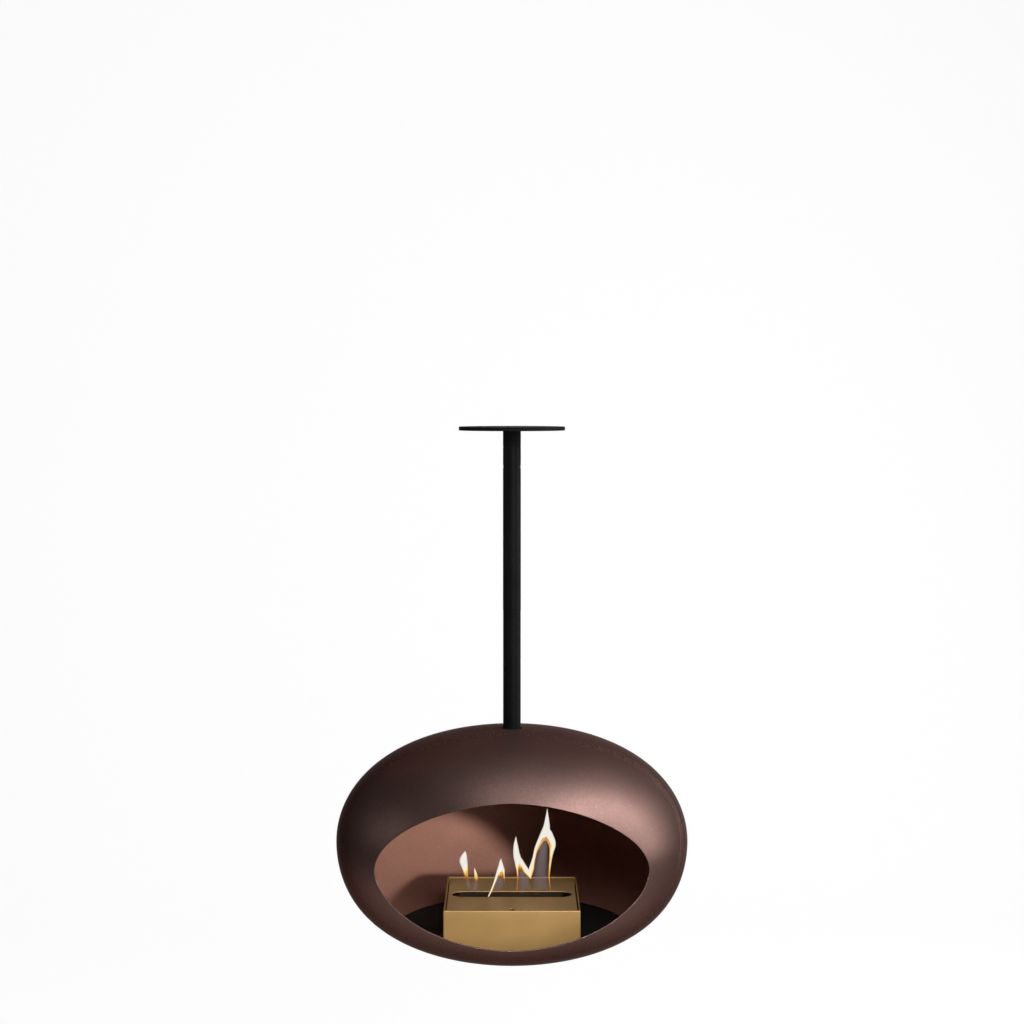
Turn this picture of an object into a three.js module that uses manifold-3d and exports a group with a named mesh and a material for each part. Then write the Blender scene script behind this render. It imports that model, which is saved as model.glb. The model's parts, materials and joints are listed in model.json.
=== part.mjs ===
// Hanging fireplace: a steel dome on a pole under a ceiling plate, with a liquid-fuel burner on its floor.
// Millimetres, +Z up. The origin is the centre of the ceiling plate's top face; the opening faces -Y.
import * as THREE from 'three';
import { mergeVertices } from 'three/addons/utils/BufferGeometryUtils.js';
import Module from 'manifold-3d';

// ---------------------------------------------------------------- driving dimensions

const seat = 0.3; // play left where one piece rests on, fills or passes another

// ceiling plate
const plateRadius = 112.5;
const plateThickness = 8;
const plateHoleCount = 4;
const plateHoleCircle = 88; // radius of the circle that the fixing holes lie on
const plateHoleRadius = 3.2;
const countersinkRadius = 6.4;
const countersinkDepth = 3.4;
const bossLength = 8; // spigot under the plate that the swivel housing screws onto

// swivel housing and its thrust bearing
const poleRadius = 19;
const housingLength = 34;
const housingBore = 15; // radius
const housingFloor = 8;
const grubRadius = 2;
const grubLength = 7;
const boltRadius = 6;
const boltPlay = 0.8; // radial, between the swivel bolt and the housing's floor
const boltHeadHeight = 7;
const boltHeadAcross = 18;
const bearingRadius = 13;
const washerThickness = 2;
const ballRadius = 1.9;
const ballCount = 8;
const ballPlay = 0.15;
const cageThickness = 1.6;
const swivelSeam = 0.8; // open seam between the fixed housing and the turning pole

// pole
const poleDrop = 629; // from the ceiling plate's underside to the dome's top
const upperPoleLength = 344;
const lowerPoleRadius = 18.7;
const poleBore = 15.7; // radius, the same in both sections
const plugLength = 50;
const boltReach = 34; // how far the swivel bolt screws into the plug
const pinRadius = 4;
const pinAboveFoot = 8; // height of the cross pin above the plug's lower end
const joinerLength = 80;
const capThickness = 3;
const capSpigot = 12;
const capWall = 2;

// dome: radius and height follow A cos t (1 + s sin^2 t) and C sin t (1 + k cos^2 t)
const domeRadius = 370;
const domeRise = 232;
const domeDrop = 243;
const upperSlimness = -0.066; // s above the widest ring
const upperCrown = 0.147; // k above the widest ring
const lowerSlimness = 0.132; // s below it
const lowerCrown = 0.026; // k below it
const domeWall = 2;
const collarHoleRadius = 22;
const sealLip = 1.6; // height of the seal ring above the dome

// opening: the outline x^n + z^n in the front view
const openingHalfWidth = 274.4;
const openingHalfHeight = 145.9;
const openingDrop = 9.7; // its centre lies this far below the dome's widest ring
const openingExponent = 1.83;

// hub inside the dome's top
const hubRadius = 70;
const hubThickness = 5;
const hubSleeveWall = 8;
const hubSleeveLength = 46;
const crossBoltRadius = 4;
const crossBoltRaise = 22; // height of the cross bolt above the sleeve's lower end
const crossHeadHeight = 5.3;
const crossHeadAcross = 13;
const crossNutHeight = 6.5;
const studRadius = 3;
const studCount = 4;
const studBelowHub = 9;
const studNutHeight = 5;
const studNutAcross = 10;

// floor
const floorAboveBottom = 55; // from the dome's lowest point up to the floor's top face
const floorThickness = 2.5;
const floorEdgePlay = 1;
const bracketWidth = 36;
const bracketReach = 42; // how far each bracket comes in under the floor
const bracketDepth = 22;
const bracketSheet = 3;
const bracketCount = 3;
const floorScrewRadius = 2.5;
const floorScrewLength = 10;
const floorScrewHeadRadius = 4.8;
const floorScrewHeadHeight = 1.8;
const floorScrewInset = 12; // from the bracket's inner end

// burner casing
const casingWidth = 277.5;
const casingDepth = 280;
const casingHeight = 82;
const casingWall = 3;
const casingBottom = 2;
const casingRimBevel = 0.9;
const burnerBack = -48; // the burner's centre in y
const casingScrewRadius = 2.5;
const casingScrewHeadRadius = 4.5;
const casingScrewHeadHeight = 3;
const casingScrewLength = 11; // below its head
const casingScrewInset = 30; // from the casing's outside
const casingNutHeight = 4;
const casingNutAcross = 8;
const railWidth = 9;
const railSheet = 1.5;
const railHeight = 16;

// fuel tank, wool and grid
const coverRecess = 2; // the cover's top lies this far below the casing's rim
const tankBelowCover = 14; // from the cover's top down to the tank's top
const tankHeight = 54;
const tankWall = 1.5;
const tankPlay = 2; // between the tank's body and each rail
const tankFlangePlay = 2.5; // between the tank's flange and the casing
const tankFrontPlay = 12; // between the tank's body and the casing, front and back
const neckRecess = 2.5; // the neck's rim lies this far below the cover's top
const neckInset = 7; // from the slot's edge in to the neck
const neckWall = 1.5;
const gridThickness = 1;
const gridMargin = 8; // how far the grid reaches past the neck, front and back
const gridColumns = 14;
const gridRows = 2;
const gridBar = 3;

// cover plate
const coverThickness = 2;
const coverSideGap = 3;
const coverBackGap = 3;
const coverFrontGap = 1.5;
const coverFlange = 2; // thickness of its two turned-down sides
const slotEndMargin = 7.5; // from the cover's side edge to the slot's end
const slotWidth = 46;
const liftHoleRadius = 6.5;
const liftHoleInset = 16.5; // from the cover's front edge to the hole's centre

// facets
const domeFacets = 60;
const hubFacets = 30;
const domeRings = 12; // above the widest ring, and as many below it
const roundFacets = 32;
const smallFacets = 12;
const slotFacets = 10; // along each round end of the slot

// ---------------------------------------------------------------- levels, worked out from the above

const plateUnderside = -plateThickness;
const housingFoot = plateUnderside - housingLength;
const housingFloorTop = housingFoot + housingFloor;
const poleHead = housingFoot - swivelSeam;
const poleStep = poleHead - upperPoleLength;
const widestLevel = plateUnderside - poleDrop - domeRise;
const domeBottom = widestLevel - domeDrop;
const floorLevel = domeBottom + floorAboveBottom;
const casingFoot = floorLevel + seat;
const casingRim = casingFoot + casingHeight;
const coverLevel = casingRim - coverRecess;
const tankLevel = coverLevel - tankBelowCover;
const tankFoot = tankLevel - tankHeight;

// ---------------------------------------------------------------- solids

const wasm = await Module();
wasm.setup();

// Turns a closed geometry into a solid: shared corners are merged and collapsed triangles left out.
function toSolid(geometry) {
  geometry.deleteAttribute('normal');
  geometry.deleteAttribute('uv');
  const merged = mergeVertices(geometry, 1e-4);
  const index = merged.index.array;
  const corners = merged.attributes.position.array;
  const triangles = [];
  let volume = 0;
  for (let i = 0; i < index.length; i += 3) {
    const [a, b, c] = [index[i], index[i + 1], index[i + 2]];
    if (a === b || b === c || c === a) {
      continue;
    }
    triangles.push(a, b, c);
    const [pa, pb, pc] = [a, b, c].map((v) => new THREE.Vector3().fromArray(corners, 3 * v));
    volume += pa.dot(pb.cross(pc));
  }
  if (volume < 0) {
    triangles.reverse();
  }
  return new wasm.Manifold(new wasm.Mesh({
    numProp: 3,
    vertProperties: new Float32Array(corners),
    triVerts: new Uint32Array(triangles),
  }));
}

// Revolves a closed list of [radius, z] corners about the Z axis.
function revolve(corners, facets) {
  const outline = corners.map(([radius, z]) => new THREE.Vector2(radius, z));
  return toSolid(new THREE.LatheGeometry(outline, facets).rotateX(Math.PI / 2));
}

// A round bar between two levels, or a round tube when it has a bore.
function bar(radius, low, high, facets = smallFacets) {
  return revolve([[0, low], [radius, low], [radius, high], [0, high]], facets);
}

function tube(radius, bore, low, high, facets = roundFacets) {
  return revolve([[bore, low], [radius, low], [radius, high], [bore, high], [bore, low]], facets);
}

// A box given by its low and high corner.
function block([x0, y0, z0], [x1, y1, z1]) {
  const geometry = new THREE.BoxGeometry(x1 - x0, y1 - y0, z1 - z0);
  return toSolid(geometry.translate((x0 + x1) / 2, (y0 + y1) / 2, (z0 + z1) / 2));
}

// A box centred on the burner: half width, half depth and two levels.
function burnerBlock(halfWidth, halfDepth, low, high) {
  return block([-halfWidth, burnerBack - halfDepth, low], [halfWidth, burnerBack + halfDepth, high]);
}

function prism(shape, low, high) {
  const geometry = new THREE.ExtrudeGeometry(shape, {
    depth: high - low,
    bevelEnabled: false,
    curveSegments: slotFacets,
  });
  return toSolid(geometry.translate(0, 0, low));
}

// A long outline with round ends, centred on the burner.
function stadium(length, width) {
  const reach = (length - width) / 2;
  const shape = new THREE.Shape();
  shape.absarc(reach, burnerBack, width / 2, -Math.PI / 2, Math.PI / 2);
  shape.absarc(-reach, burnerBack, width / 2, Math.PI / 2, 1.5 * Math.PI);
  shape.closePath();
  return shape;
}

function hexagon(across, low, high) {
  const corner = across / Math.sqrt(3);
  return revolve([[0, low], [corner, low], [corner, high], [0, high]], 6);
}

// The same solid with its own Z axis laid along +X.
function layAlongX(solid) {
  return solid.rotate([0, 90, 0]);
}

// Directions evenly spaced about the Z axis, and a spot at a radius in one of them.
function around(count, first = 0) {
  return Array.from({ length: count }, (unused, i) => first + i * 2 * Math.PI / count);
}

function spotAt(radius, turn, level = 0) {
  return [radius * Math.cos(turn), radius * Math.sin(turn), level];
}

function turned(solid, turn) {
  return solid.rotate([0, 0, THREE.MathUtils.radToDeg(turn)]);
}

// ---------------------------------------------------------------- the dome's profile

// A point of the profile at parameter t, moved inwards at right angles by the given depth.
function domePoint(t, depth = 0) {
  const upper = t >= 0;
  const slimness = upper ? upperSlimness : lowerSlimness;
  const crown = upper ? upperCrown : lowerCrown;
  const height = upper ? domeRise : domeDrop;
  const [s, c] = [Math.sin(t), Math.cos(t)];
  const radius = domeRadius * c * (1 + slimness * s * s);
  const rise = height * s * (1 + crown * c * c);
  const radiusSlope = domeRadius * (-s * (1 + slimness * s * s) + 2 * slimness * s * c * c);
  const riseSlope = height * (c * (1 + crown * c * c) - 2 * crown * s * s * c);
  const length = Math.hypot(radiusSlope, riseSlope);
  return [radius - depth * riseSlope / length, widestLevel + rise + depth * radiusSlope / length];
}

// The parameter at which the profile, at the given depth, reaches the wanted value.
function domeParameter(measure, wanted, low, high) {
  const rising = measure(high) > measure(low);
  for (let i = 0; i < 60; i += 1) {
    const middle = (low + high) / 2;
    if ((measure(middle) < wanted) === rising) {
      low = middle;
    } else {
      high = middle;
    }
  }
  return (low + high) / 2;
}

const domeLimit = Math.PI / 2;

function parameterAtLevel(level) {
  return domeParameter((t) => domePoint(t)[1], level, -domeLimit, domeLimit);
}

// Corners of the profile from its lowest point to the parameter given, at one depth.
function domeProfile(last, depth) {
  const corners = [];
  for (let i = 0; i < domeRings; i += 1) {
    corners.push(domePoint(-domeLimit * (1 - i / domeRings), depth));
  }
  for (let i = 0; i <= domeRings; i += 1) {
    corners.push(domePoint(last * i / domeRings, depth));
  }
  corners[0][0] = 0;
  return corners;
}

// The space inside the dome's lower half, up to its widest ring, kept clear of the wall by a margin.
function bowlInside(margin) {
  const depth = domeWall + margin;
  const corners = domeProfile(0, depth).slice(0, domeRings + 1);
  return revolve([...corners, [0, corners.at(-1)[1]]], domeFacets);
}

// The rings of the wall's outer and inner face, up to the edge of the hole for the pole.
function wallRings(depth) {
  const last = domeParameter((t) => domePoint(t, depth)[0], collarHoleRadius, 0, domeLimit);
  return domeProfile(last, depth);
}

const outerRings = wallRings(0);
const innerRings = wallRings(domeWall);

// Reads the faceted inner face: the radius at a level of its lower half, or the level at a radius above.
function innerRadiusAt(level) {
  const next = innerRings.findIndex((ring) => ring[1] > level);
  const [[lowRadius, low], [highRadius, high]] = [innerRings[next - 1], innerRings[next]];
  return lowRadius + (highRadius - lowRadius) * (level - low) / (high - low);
}

function crownLevelAt(radius) {
  const next = innerRings.findIndex((ring, i) => i > domeRings && ring[0] <= radius);
  if (next < 0) {
    return innerRings.at(-1)[1];
  }
  const [[wide, low], [narrow, high]] = [innerRings[next - 1], innerRings[next]];
  return low + (high - low) * (wide - radius) / (wide - narrow);
}

const crownLevel = outerRings.at(-1)[1];
const hubTop = innerRings.at(-1)[1] - seat;
const hubFoot = hubTop - hubSleeveLength;
const poleFoot = hubFoot - seat;
const crossBoltLevel = hubFoot + crossBoltRaise;

// ---------------------------------------------------------------- materials

const blackSteel = new THREE.MeshStandardMaterial({ color: 0x141414, roughness: 0.6, metalness: 0.3 });
const mochaSteel = new THREE.MeshStandardMaterial({ color: 0x4a3630, roughness: 0.38, metalness: 0.7 });
const brassSteel = new THREE.MeshStandardMaterial({ color: 0xb08a52, roughness: 0.4, metalness: 0.85 });
const brightSteel = new THREE.MeshStandardMaterial({ color: 0x9a9c9f, roughness: 0.35, metalness: 0.9 });
const darkRubber = new THREE.MeshStandardMaterial({ color: 0x101010, roughness: 0.85, metalness: 0 });
const paleWool = new THREE.MeshStandardMaterial({ color: 0xd9d5cb, roughness: 0.95, metalness: 0 });

const fireplace = new THREE.Group();

// Adds one named piece; a turn is its angle about the Z axis.
function add(name, solid, material, turn = 0) {
  const mesh = solid.getMesh();
  const geometry = new THREE.BufferGeometry();
  geometry.setAttribute('position', new THREE.BufferAttribute(mesh.vertProperties, 3));
  geometry.setIndex(new THREE.BufferAttribute(mesh.triVerts, 1));
  geometry.computeVertexNormals();
  const piece = new THREE.Mesh(geometry, material);
  piece.name = name;
  piece.rotation.z = turn;
  fireplace.add(piece);
}

// ---------------------------------------------------------------- ceiling plate and swivel

const grubTurns = [Math.PI / 4, 3 * Math.PI / 4];
const grubLevel = plateUnderside - bossLength / 2;
const bossRadius = housingBore - seat;

const grubInner = poleRadius - seat - grubLength;

function grubHole() {
  return layAlongX(bar(grubRadius + seat, grubInner - seat, poleRadius + seat)).translate([0, 0, grubLevel]);
}

function ceilingPlate() {
  let plate = bar(plateRadius, plateUnderside, 0, domeFacets);
  plate = plate.add(bar(bossRadius, plateUnderside - bossLength, plateUnderside + seat, roundFacets));
  const screwHole = bar(plateHoleRadius, plateUnderside - seat, seat);
  const cone = revolve([
    [0, plateUnderside - seat],
    [countersinkRadius, plateUnderside - seat],
    [countersinkRadius, plateUnderside],
    [plateHoleRadius, plateUnderside + countersinkDepth],
    [0, plateUnderside + countersinkDepth],
  ], smallFacets);
  for (const turn of around(plateHoleCount, Math.PI / 4)) {
    plate = plate.subtract(screwHole.add(cone).translate(spotAt(plateHoleCircle, turn)));
  }
  for (const turn of grubTurns) {
    plate = plate.subtract(turned(grubHole(), turn));
  }
  return plate;
}

function swivelHousing() {
  const boltHole = boltRadius + boltPlay;
  let housing = revolve([
    [boltHole, housingFoot],
    [poleRadius, housingFoot],
    [poleRadius, plateUnderside - seat],
    [housingBore, plateUnderside - seat],
    [housingBore, housingFloorTop],
    [boltHole, housingFloorTop],
    [boltHole, housingFoot],
  ], roundFacets);
  for (const turn of grubTurns) {
    housing = housing.subtract(turned(grubHole(), turn));
  }
  return housing;
}

const lowerWasherFoot = housingFloorTop + seat;
const ballCentre = lowerWasherFoot + washerThickness + ballPlay + ballRadius;
const upperWasherFoot = ballCentre + ballRadius + ballPlay;
const boltHeadFoot = upperWasherFoot + washerThickness + seat;
const washerBore = boltRadius + seat;
const ballCircle = (washerBore + bearingRadius) / 2;

function bearingCage() {
  const half = cageThickness / 2;
  let cage = tube(bearingRadius - seat, washerBore + seat, ballCentre - half, ballCentre + half);
  for (const turn of around(ballCount)) {
    const pocket = bar(ballRadius + seat, ballCentre - cageThickness, ballCentre + cageThickness);
    cage = cage.subtract(pocket.translate(spotAt(ballCircle, turn)));
  }
  return cage;
}

function bearingBall(turn) {
  const ball = toSolid(new THREE.SphereGeometry(ballRadius, 8, 6));
  return ball.translate(spotAt(ballCircle, turn, ballCentre));
}

function swivelBolt() {
  const shank = bar(boltRadius, poleHead - boltReach, boltHeadFoot + seat);
  return shank.add(hexagon(boltHeadAcross, boltHeadFoot, boltHeadFoot + boltHeadHeight));
}

add('ceiling_plate', ceilingPlate(), blackSteel);
add('swivel_housing', swivelHousing(), blackSteel);
grubTurns.forEach((turn, i) => {
  const grub = layAlongX(bar(grubRadius, grubInner, poleRadius - seat));
  add(`housing_grub_screw_${i + 1}`, grub.translate([0, 0, grubLevel]), brightSteel, turn);
});
add('bearing_lower_washer', tube(bearingRadius, washerBore, lowerWasherFoot,
  lowerWasherFoot + washerThickness), brightSteel);
add('bearing_cage', bearingCage(), brassSteel);
around(ballCount).forEach((turn, i) => {
  add(`bearing_ball_${i + 1}`, bearingBall(turn), brightSteel);
});
add('bearing_upper_washer', tube(bearingRadius, washerBore, upperWasherFoot,
  upperWasherFoot + washerThickness), brightSteel);
add('swivel_bolt', swivelBolt(), brightSteel);

// ---------------------------------------------------------------- pole

const plugFoot = poleHead - plugLength;
const pinLevel = plugFoot + pinAboveFoot;

function crossHole(radius, reach, level) {
  return layAlongX(bar(radius, -reach, reach)).translate([0, 0, level]);
}

function poleTopPlug() {
  const plug = bar(poleBore - seat, plugFoot, poleHead, roundFacets);
  const thread = bar(boltRadius + seat, poleHead - boltReach - seat, poleHead + seat);
  return plug.subtract(thread).subtract(crossHole(pinRadius + seat, poleRadius, pinLevel));
}

function upperPole() {
  const pole = tube(poleRadius, poleBore, poleStep, poleHead);
  return pole.subtract(crossHole(pinRadius + seat, poleRadius + seat, pinLevel));
}

function lowerPole() {
  const pole = tube(lowerPoleRadius, poleBore, poleFoot, poleStep - seat);
  return pole.subtract(crossHole(crossBoltRadius + seat, poleRadius, crossBoltLevel));
}

function poleEndCap() {
  const outer = poleBore - seat;
  return revolve([
    [0, poleFoot - seat - capThickness],
    [lowerPoleRadius, poleFoot - seat - capThickness],
    [lowerPoleRadius, poleFoot - seat],
    [outer, poleFoot - seat],
    [outer, poleFoot + capSpigot],
    [outer - capWall, poleFoot + capSpigot],
    [outer - capWall, poleFoot - seat],
    [0, poleFoot - seat],
  ], roundFacets);
}

add('pole_top_plug', poleTopPlug(), brightSteel);
add('plug_cross_pin', crossHole(pinRadius, poleRadius - seat, pinLevel), brightSteel);
add('pole_upper', upperPole(), blackSteel);
add('pole_joiner', bar(poleBore - seat, poleStep - joinerLength / 2, poleStep + joinerLength / 2, roundFacets),
  brightSteel);
add('pole_lower', lowerPole(), blackSteel);
add('pole_end_cap', poleEndCap(), darkRubber);

// ---------------------------------------------------------------- dome

// Cuts the opening: its front-view outline is laid on the outer surface and swept along the surface normal.
function openingCutter() {
  const sides = 72;
  const outwards = 30;
  const inwards = 20;
  const centreLevel = widestLevel - openingDrop;
  const power = 2 / openingExponent;
  const corners = [];
  const step = (value) => Math.sign(value) * Math.abs(value) ** power;
  for (let i = 0; i < sides; i += 1) {
    const angle = 2 * Math.PI * i / sides;
    const x = openingHalfWidth * step(Math.cos(angle));
    const t = parameterAtLevel(centreLevel + openingHalfHeight * step(Math.sin(angle)));
    const [radius, level] = domePoint(t);
    const [inner, innerLevel] = domePoint(t, 1);
    const y = -Math.sqrt(Math.max(radius * radius - x * x, 0));
    for (const reach of [outwards, -inwards]) {
      const share = 1 + reach * (radius - inner) / radius;
      corners.push(x * share, y * share, level + reach * (level - innerLevel));
    }
  }
  // its front comes to a point where lines that just touch the dome beside the opening meet
  const frontPoint = -((domeRadius + outwards) ** 2) / Math.sqrt(domeRadius ** 2 - openingHalfWidth ** 2);
  corners.push(0, frontPoint, centreLevel, 0, 0, centreLevel);
  const [front, back] = [2 * sides, 2 * sides + 1];
  const triangles = [];
  for (let i = 0; i < sides; i += 1) {
    const [outer, inner] = [2 * i, 2 * i + 1];
    const [nextOuter, nextInner] = [(outer + 2) % front, (inner + 2) % front];
    triangles.push(front, outer, nextOuter, back, nextInner, inner);
    triangles.push(outer, inner, nextInner, outer, nextInner, nextOuter);
  }
  const geometry = new THREE.BufferGeometry();
  geometry.setAttribute('position', new THREE.BufferAttribute(new Float32Array(corners), 3));
  geometry.setIndex(triangles);
  return toSolid(geometry);
}

function domeShell() {
  return revolve([...outerRings, ...innerRings.toReversed()], domeFacets).subtract(openingCutter());
}

function poleSeal() {
  const outer = collarHoleRadius - seat;
  return tube(outer, lowerPoleRadius + seat, hubTop + seat, crownLevel + sealLip);
}

add('dome_shell', domeShell(), mochaSteel);
add('pole_seal', poleSeal(), darkRubber);

// ---------------------------------------------------------------- hub, studs and cross bolt

const hubBore = lowerPoleRadius + seat;
const hubSleeve = hubBore + hubSleeveWall;
const studCircle = (hubSleeve + hubRadius) / 2;
const studTurns = around(studCount, Math.PI / 4);
const studTop = crownLevelAt(studCircle + studRadius) - seat;
const hubUnderside = crownLevelAt(hubRadius) - seat - hubThickness;
const studNutTop = hubUnderside - seat;

function domeHub() {
  const rings = 5;
  const crown = [];
  for (let i = 0; i <= rings; i += 1) {
    const radius = hubRadius + (collarHoleRadius - hubRadius) * i / rings;
    crown.push([radius, crownLevelAt(radius) - seat]);
  }
  let hub = revolve([
    [hubBore, hubFoot],
    [hubSleeve, hubFoot],
    [hubSleeve, hubUnderside],
    [hubRadius, hubUnderside],
    ...crown,
    [hubBore, hubTop],
    [hubBore, hubFoot],
  ], hubFacets);
  for (const turn of studTurns) {
    const hole = bar(studRadius + seat, hubUnderside - seat, hubTop + seat);
    hub = hub.subtract(hole.translate(spotAt(studCircle, turn)));
  }
  return hub.subtract(crossHole(crossBoltRadius + seat, hubSleeve + seat, crossBoltLevel));
}

function crossBolt() {
  const headFoot = hubSleeve + seat;
  const shank = bar(crossBoltRadius, -headFoot - crossNutHeight - seat, headFoot + seat);
  const head = hexagon(crossHeadAcross, headFoot, headFoot + crossHeadHeight);
  return layAlongX(shank.add(head)).translate([0, 0, crossBoltLevel]);
}

function crossNut() {
  const foot = hubSleeve + seat;
  const nut = hexagon(crossHeadAcross, -foot - crossNutHeight, -foot);
  const thread = bar(crossBoltRadius + seat, -foot - crossNutHeight - seat, -foot + seat);
  return layAlongX(nut.subtract(thread)).translate([0, 0, crossBoltLevel]);
}

function studNut() {
  const nut = hexagon(studNutAcross, studNutTop - studNutHeight, studNutTop);
  return nut.subtract(bar(studRadius + seat, studNutTop - studNutHeight - seat, studNutTop + seat));
}

add('dome_hub', domeHub(), blackSteel);
add('pole_cross_bolt', crossBolt(), brightSteel);
add('pole_cross_nut', crossNut(), brightSteel);
studTurns.forEach((turn, i) => {
  const stud = bar(studRadius, hubUnderside - studBelowHub, studTop);
  add(`dome_stud_${i + 1}`, stud.translate(spotAt(studCircle, turn)), brightSteel);
  add(`stud_nut_${i + 1}`, studNut().translate(spotAt(studCircle, turn)), brightSteel);
});

// ---------------------------------------------------------------- floor

const floorUnderside = floorLevel - floorThickness;
const floorRadius = innerRadiusAt(floorUnderside) - floorEdgePlay;
const bracketTop = floorUnderside - seat;
const bracketInner = floorRadius - bracketReach;
const screwCircle = bracketInner + floorScrewInset;
const bracketTurns = around(bracketCount, Math.PI / 2);

function floorScrewHole() {
  const play = floorScrewRadius + seat;
  return bar(play, floorLevel - floorScrewLength - seat, floorLevel + seat).add(revolve([
    [0, floorLevel - floorScrewHeadHeight - seat],
    [play, floorLevel - floorScrewHeadHeight - seat],
    [floorScrewHeadRadius + seat, floorLevel - 2 * seat],
    [floorScrewHeadRadius + seat, floorLevel + seat],
    [0, floorLevel + seat],
  ], smallFacets));
}

const casingScrewX = casingWidth / 2 - casingScrewInset;
const casingScrewY = casingDepth / 2 - casingScrewInset;
const casingScrewSpots = [[-1, -1], [1, -1], [1, 1], [-1, 1]].map(([sideX, sideY]) => (
  [sideX * casingScrewX, burnerBack + sideY * casingScrewY, 0]));

// Cuts the four holes for the casing's screws between two levels.
function withCasingScrewHoles(solid, low, high) {
  return casingScrewSpots.reduce((left, spot) => (
    left.subtract(bar(casingScrewRadius + seat, low - seat, high + seat).translate(spot))), solid);
}

function floorPlate() {
  let plate = bar(floorRadius, floorUnderside, floorLevel, domeFacets);
  for (const turn of bracketTurns) {
    plate = plate.subtract(turned(floorScrewHole().translate([screwCircle, 0, 0]), turn));
  }
  return withCasingScrewHoles(plate, floorUnderside, floorLevel);
}

// An angle bracket along +X: a level tab under the floor and a leg that follows the bowl's wall.
function floorBracket() {
  const half = bracketWidth / 2;
  const outerBox = block([bracketInner, -half, bracketTop - bracketDepth], [domeRadius, half, bracketTop]);
  const innerBox = block([0, -bracketWidth, bracketTop - 2 * bracketDepth],
    [domeRadius, bracketWidth, bracketTop - bracketSheet]);
  const angle = outerBox.intersect(bowlInside(seat));
  const hollow = innerBox.intersect(bowlInside(seat + bracketSheet));
  return angle.subtract(hollow).subtract(floorScrewHole().translate([screwCircle, 0, 0]));
}

function floorScrew() {
  return bar(floorScrewRadius, floorLevel - floorScrewLength, floorLevel - seat).add(revolve([
    [0, floorLevel - floorScrewHeadHeight],
    [floorScrewRadius, floorLevel - floorScrewHeadHeight],
    [floorScrewHeadRadius, floorLevel - seat],
    [0, floorLevel - seat],
  ], smallFacets)).translate([screwCircle, 0, 0]);
}

add('floor_plate', floorPlate(), blackSteel);
bracketTurns.forEach((turn, i) => {
  add(`floor_bracket_${i + 1}`, floorBracket(), mochaSteel, turn);
  add(`floor_screw_${i + 1}`, floorScrew(), blackSteel, turn);
});

// ---------------------------------------------------------------- burner casing

const casingInnerHalfWidth = casingWidth / 2 - casingWall;
const casingInnerHalfDepth = casingDepth / 2 - casingWall;
const railTop = tankLevel - tankWall - seat;
const railInner = casingInnerHalfWidth - railWidth;

// A layer under the rim, centred on the burner, that widens or narrows by a bevel towards its top.
function rimLayer(halfWidth, halfDepth, growth) {
  const layer = new THREE.BoxGeometry(2 * halfWidth, 2 * halfDepth, casingRimBevel);
  const corners = layer.attributes.position;
  for (let i = 0; i < corners.count; i += 1) {
    if (corners.getZ(i) > 0) {
      corners.setX(i, corners.getX(i) + growth * Math.sign(corners.getX(i)));
      corners.setY(i, corners.getY(i) + growth * Math.sign(corners.getY(i)));
    }
  }
  return toSolid(layer.translate(0, burnerBack, casingRim - casingRimBevel / 2));
}

// An open box of sheet whose rim is bevelled on both edges.
function burnerCasing() {
  const [halfWidth, halfDepth] = [casingWidth / 2, casingDepth / 2];
  const walls = burnerBlock(halfWidth, halfDepth, casingFoot, casingRim - casingRimBevel);
  let casing = walls.add(rimLayer(halfWidth, halfDepth, -casingRimBevel));
  const hollow = burnerBlock(casingInnerHalfWidth, casingInnerHalfDepth, casingFoot + casingBottom,
    casingRim + seat);
  const flare = rimLayer(casingInnerHalfWidth, casingInnerHalfDepth, casingRimBevel);
  casing = casing.subtract(hollow).subtract(flare);
  return withCasingScrewHoles(casing, casingFoot, casingFoot + casingBottom);
}

// An angle rail along one side wall: its level leg carries the tank's flange.
function casingRail(side) {
  const wallSide = casingInnerHalfWidth - seat;
  const halfLength = casingInnerHalfDepth - seat;
  const outline = new THREE.Shape([
    [railInner, railTop], [wallSide, railTop], [wallSide, railTop - railHeight],
    [wallSide - railSheet, railTop - railHeight], [wallSide - railSheet, railTop - railSheet],
    [railInner, railTop - railSheet],
  ].map(([x, z]) => new THREE.Vector2(side * x, z)));
  const geometry = new THREE.ExtrudeGeometry(outline, { depth: 2 * halfLength, bevelEnabled: false });
  return toSolid(geometry.rotateX(Math.PI / 2).translate(0, burnerBack + halfLength, 0));
}

const screwHeadFoot = casingFoot + casingBottom + seat;
const casingNutTop = floorUnderside - seat;

function casingScrew() {
  const head = bar(casingScrewHeadRadius, screwHeadFoot, screwHeadFoot + casingScrewHeadHeight);
  return head.add(bar(casingScrewRadius, screwHeadFoot - casingScrewLength, screwHeadFoot + seat));
}

function casingNut() {
  const nut = hexagon(casingNutAcross, casingNutTop - casingNutHeight, casingNutTop);
  return nut.subtract(bar(casingScrewRadius + seat, casingNutTop - casingNutHeight - seat, casingNutTop + seat));
}

add('burner_casing', burnerCasing(), brassSteel);
add('casing_rail_left', casingRail(-1), brightSteel);
add('casing_rail_right', casingRail(1), brightSteel);
casingScrewSpots.forEach((spot, i) => {
  add(`casing_screw_${i + 1}`, casingScrew().translate(spot), brightSteel);
  add(`casing_nut_${i + 1}`, casingNut().translate(spot), brightSteel);
});

// ---------------------------------------------------------------- fuel tank, wool and grid

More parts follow.
